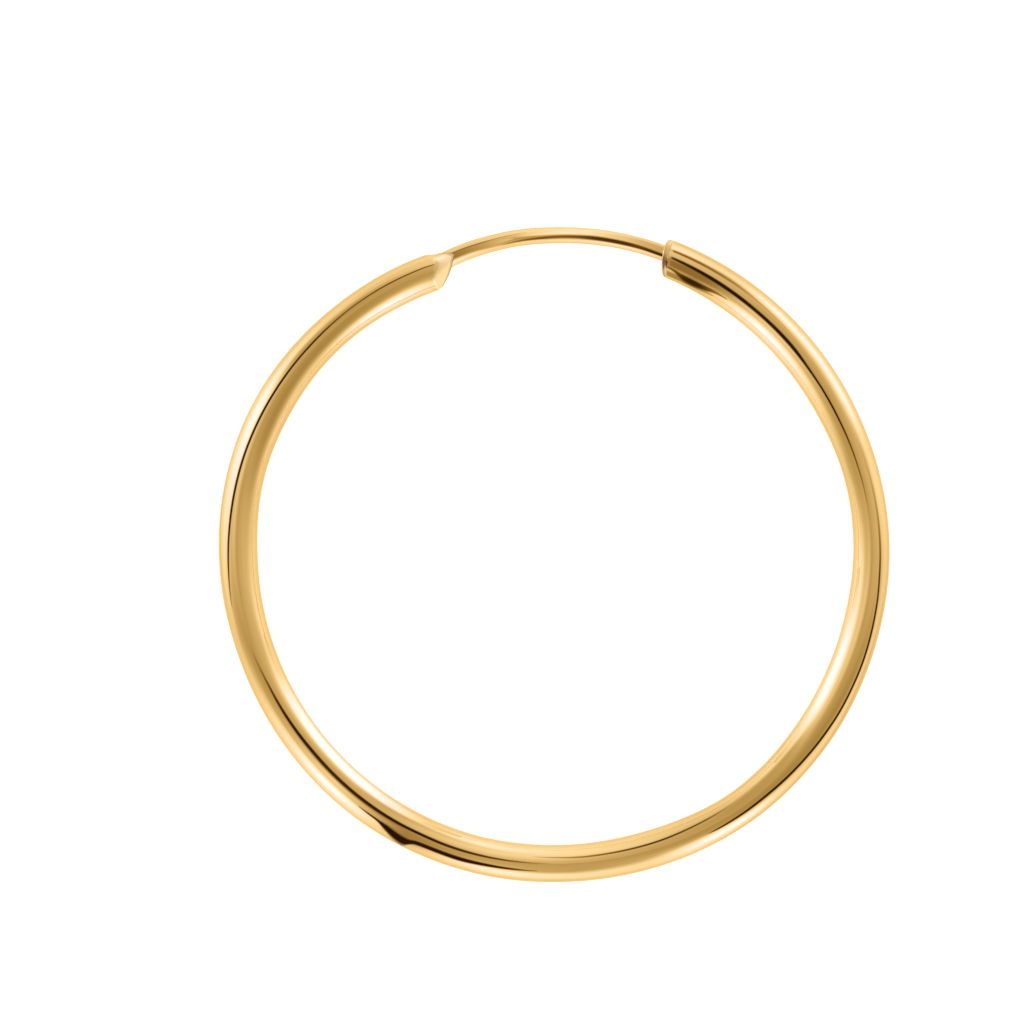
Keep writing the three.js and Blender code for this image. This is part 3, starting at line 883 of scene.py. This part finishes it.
WIRE_FLAGS = {
    "dark_side": (4, [
        (69.5, -0.36, 0.17, 0.06), (71.5, -0.34, 0.19, 0.08), (74, -0.27, 0.21, 0.14),
        (77, -0.24, 0.24, 0.11), (80, -0.23, 0.24, 0.11), (83, -0.19, 0.23, 0.13),
        (86, -0.19, 0.17, 0.20), (89, -0.22, 0.15, 0.22), (92, -0.30, 0.14, 0.20),
        (95, -0.36, 0.11, 0.24), (98, -0.46, 0.08, 0.36), (100, -0.50, 0.03, 0.50),
    ]),
    "gleam": (3.9, [
        (69.5, 0.40, 0.34, 0.50), (74, 0.42, 0.33, 0.56), (77, 0.42, 0.32, 0.63), (80, 0.42, 0.28, 0.68),
        (83, 0.42, 0.24, 0.79), (86, 0.39, 0.25, 0.81), (89, 0.33, 0.24, 0.82), (92, 0.25, 0.22, 0.76),
        (94, 0.20, 0.16, 0.71), (97, 0.15, 0.03, 0.64),
    ]),
    "brown_side": (3.8, [
        (97.5, -0.02, 0.05, 0.60), (99, -0.02, 0.18, 0.58), (101, -0.03, 0.38, 0.53),
        (104, -0.02, 0.27, 0.44), (107, 0.05, 0.27, 0.36), (109.5, 0.05, 0.27, 0.32),
    ]),
    "fine_line": (3.7, [
        (95, 0.52, 0.02, 0.55), (98, 0.44, 0.05, 0.46), (101, 0.41, 0.06, 0.40), (104, 0.38, 0.07, 0.28),
        (107, 0.41, 0.07, 0.27), (109.5, 0.41, 0.07, 0.26),
    ]),
}

# %% [markdown]
# A strip's soft edges come from a share of cover that thins out to nothing at its sides. The normal of the
# metal is worked out from two small nudges, one along the metal and one across it.

# %% Strips by the law of the mirror
FLAG_STEP = 0.5
FLAG_EDGE = 0.35
FLAG_REACH = 1.1
FLAG_FADE = 0.1
NUDGE_ALONG = 0.1
NUDGE_ACROSS = 0.001


def tube_top(angle, across):
    """The tube's upper skin. The crest's shift is taken off first, so that across is what the camera sees."""
    unshifted = across - CREST_SHIFT * (1 - across**2)
    return ring_point(angle, *round_section(angle, TUBE_RADIUS, unshifted, np.sqrt(1 - unshifted**2)))


def wire_top(angle, across):
    """The wire's upper skin: a circle of its girth about its line."""
    girth = np.interp(angle, wire_angles, fine_girth)
    return ring_point(angle, wire_line(angle) + girth * across, girth * np.sqrt(1 - across**2))


def mirrored_place(top, distance, angle, across):
    """The point at a distance from the metal, on the camera's mirrored line of sight: twice the normal times
    its share of the line to the camera, less that line."""
    here = top(angle, across)
    along = top(angle + NUDGE_ALONG, across) - top(angle - NUDGE_ALONG, across)
    round_it = top(angle, across + NUDGE_ACROSS) - top(angle, across - NUDGE_ACROSS)
    normal = np.cross(round_it, along)
    normal /= np.linalg.norm(normal, axis=-1, keepdims=True) * np.sign(normal[..., 2:])
    to_camera = np.array(camera.location) / MM - here
    to_camera /= np.linalg.norm(to_camera, axis=-1, keepdims=True)
    mirrored = 2 * (normal * to_camera).sum(axis=-1, keepdims=True) * normal - to_camera
    return here + distance * mirrored


def flag(name, top, distance, rows):
    """A strip through the table's rows. The flag edge is a share of the half thickness. The strip covers
    fully up to its half thickness less that share, and thins out to nothing at its half thickness plus it."""
    angle = np.arange(rows[0][0], rows[-1][0] + FLAG_STEP / 2, FLAG_STEP)[:, None]
    middle, half, tone = (table_curve(rows, column, angle) for column in (1, 2, 3))
    side = np.array([-1 - FLAG_EDGE, -1 + FLAG_EDGE, 0, 1 - FLAG_EDGE, 1 + FLAG_EDGE])[None, :]
    places = mirrored_place(top, distance, *np.broadcast_arrays(angle, middle + half * side))
    index = np.arange(places[..., 0].size).reshape(places.shape[:2])
    corners = index[:-1, :-1], index[1:, :-1], index[1:, 1:], index[:-1, 1:]
    faces = np.stack(corners, axis=-1).reshape(-1, 4)
    mesh = bpy.data.meshes.new(name)
    mesh.from_pydata((places.reshape(-1, 3) * MM).tolist(), [], faces.tolist())
    write_marks(mesh, [
        ("tone", np.broadcast_to(tone, index.shape)),
        ("cover", np.broadcast_to(np.array([0, 1, 1, 1, 0]), index.shape)),
        ("hung_at", np.full(index.shape, distance * MM)),
    ])
    strip = bpy.data.objects.new(name, mesh)
    bpy.context.scene.collection.objects.link(strip)
    for ray in ("camera", "diffuse", "transmission", "volume_scatter", "shadow"):
        setattr(strip, f"visible_{ray}", False)
    strip.data.materials.append(felt)


felt = bpy.data.materials.new("flag_felt")
felt.use_nodes = True
felt.node_tree.nodes.clear()
felt.cycles.emission_sampling = "NONE"
start = Signal(felt.node_tree)
glow = start.add("ShaderNodeEmission", Color=light_of(start.mark("tone")), Strength=1.0)
ray_length = start.add("ShaderNodeLightPath", output="Ray Length")
nearby = (ray_length / start.mark("hung_at")).soft_step(FLAG_REACH + FLAG_FADE, FLAG_REACH)
clear = start.add("ShaderNodeBsdfTransparent")
shown = start.shaders_mixed(start.mark("cover") * nearby, clear, glow)
start.add("ShaderNodeOutputMaterial", Surface=shown)
for name, (distance, rows) in TUBE_FLAGS.items():
    flag(f"flag_{name}", tube_top, distance, rows)
for name, (distance, rows) in WIRE_FLAGS.items():
    flag(f"flag_wire_{name}", wire_top, distance, rows)
print(len(TUBE_FLAGS), "strips for the tube and", len(WIRE_FLAGS), "for the wire")
